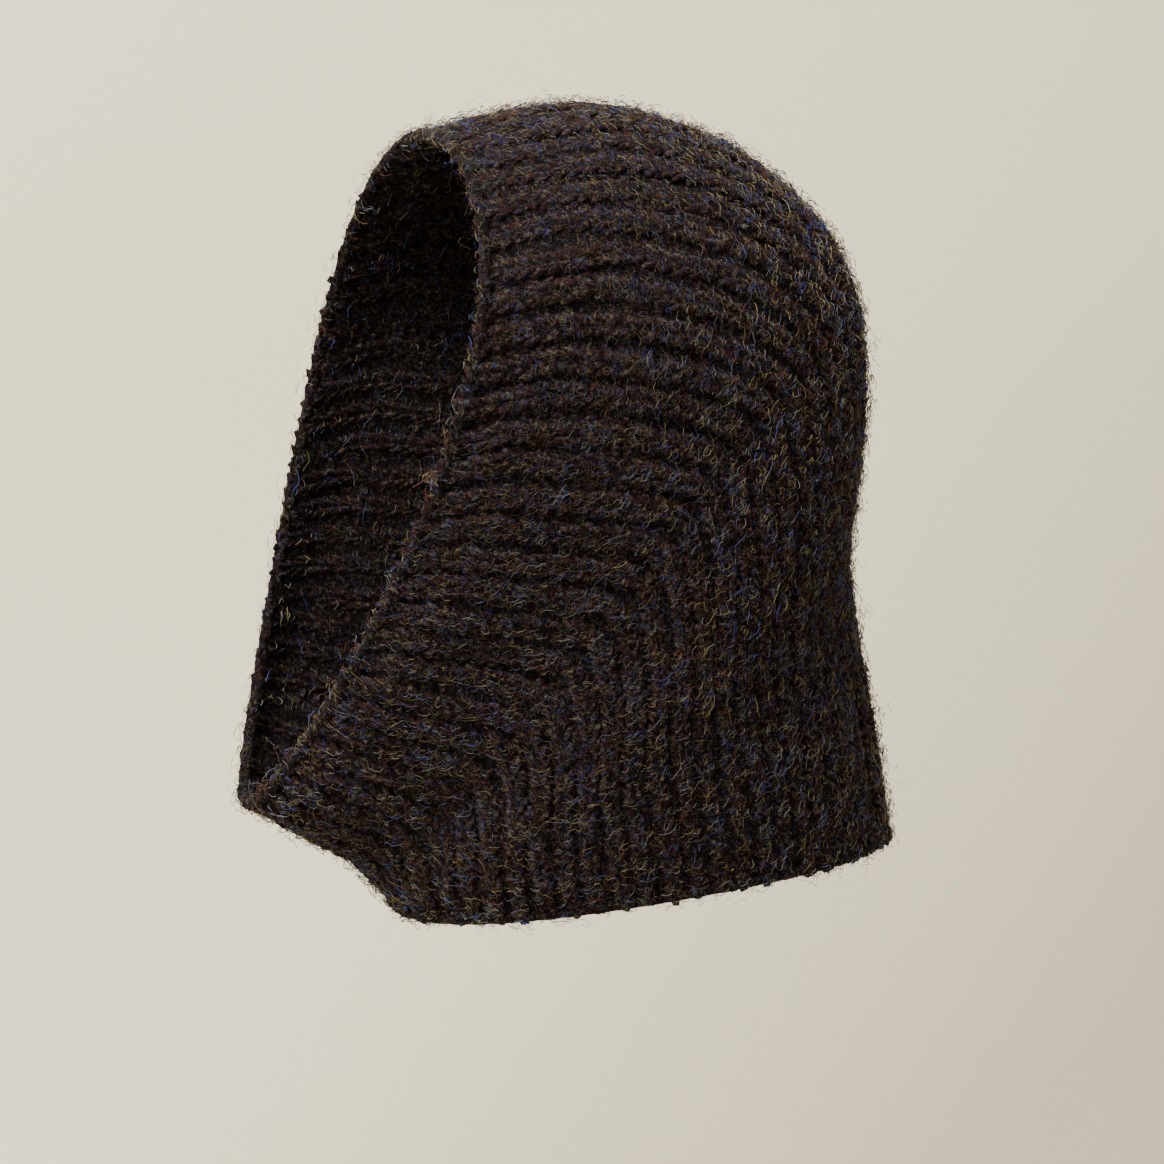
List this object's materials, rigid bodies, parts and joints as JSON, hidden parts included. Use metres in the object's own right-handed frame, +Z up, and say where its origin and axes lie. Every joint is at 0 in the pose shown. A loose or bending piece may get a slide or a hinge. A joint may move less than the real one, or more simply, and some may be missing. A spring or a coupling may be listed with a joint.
{
  "type": "knit balaclava",
  "caption": "Thick ribbed wool balaclava hood with an open face, ribs that turn a corner behind the jaw, and bound-off edges",
  "frame": {"origin": "the seat inside the crown, where the top of the head carries the hood", "axes": "+Z up through the crown, -Y out of the open face, +X to the wearer's left"},
  "size_m": [0.1601, 0.2096, 0.2461],
  "materials": {
    "heather_wool": "matte hairy heather wool rib",
    "heather_wool_edge": "matte hairy heather wool chain edge"
  },
  "bodies": {
    "root": {"crown_and_cheeks": "heather_wool", "nape_and_neck": "heather_wool", "face_edge": "heather_wool_edge", "hem_edge": "heather_wool_edge"}
  },
  "joints": []
}
